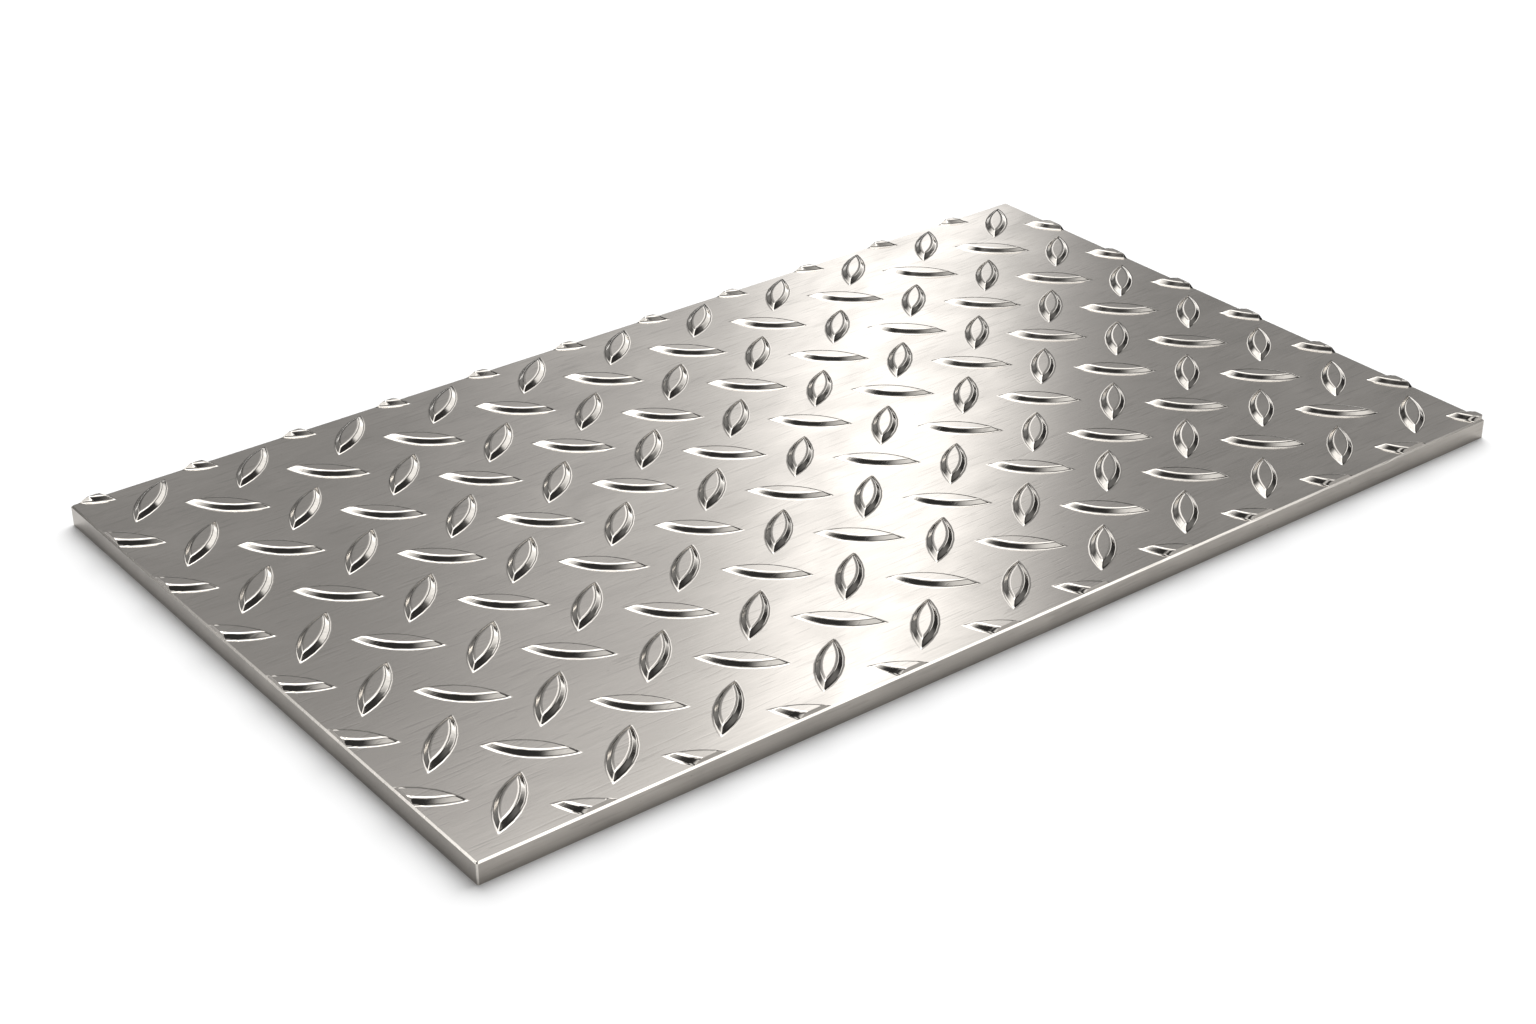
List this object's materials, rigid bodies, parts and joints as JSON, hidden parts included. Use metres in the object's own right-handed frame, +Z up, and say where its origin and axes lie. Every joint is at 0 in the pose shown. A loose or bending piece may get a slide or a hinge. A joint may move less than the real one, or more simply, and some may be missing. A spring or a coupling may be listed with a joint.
{
  "type": "checker steel plate",
  "caption": "Flat rectangular steel floor plate with a chequer pattern of pointed raised lugs on its top face and a plain underside.",
  "frame": {"origin": "centre of the plain underside, on the surface that the plate rests on", "axes": "+X along the length of the plate, +Y across its width, +Z up out of the lugged face"},
  "size_m": [0.45, 0.27, 0.0096],
  "materials": {
    "plate_steel": "fine brushed, satin"
  },
  "bodies": {
    "root": {"checker_plate": "plate_steel"}
  },
  "joints": []
}
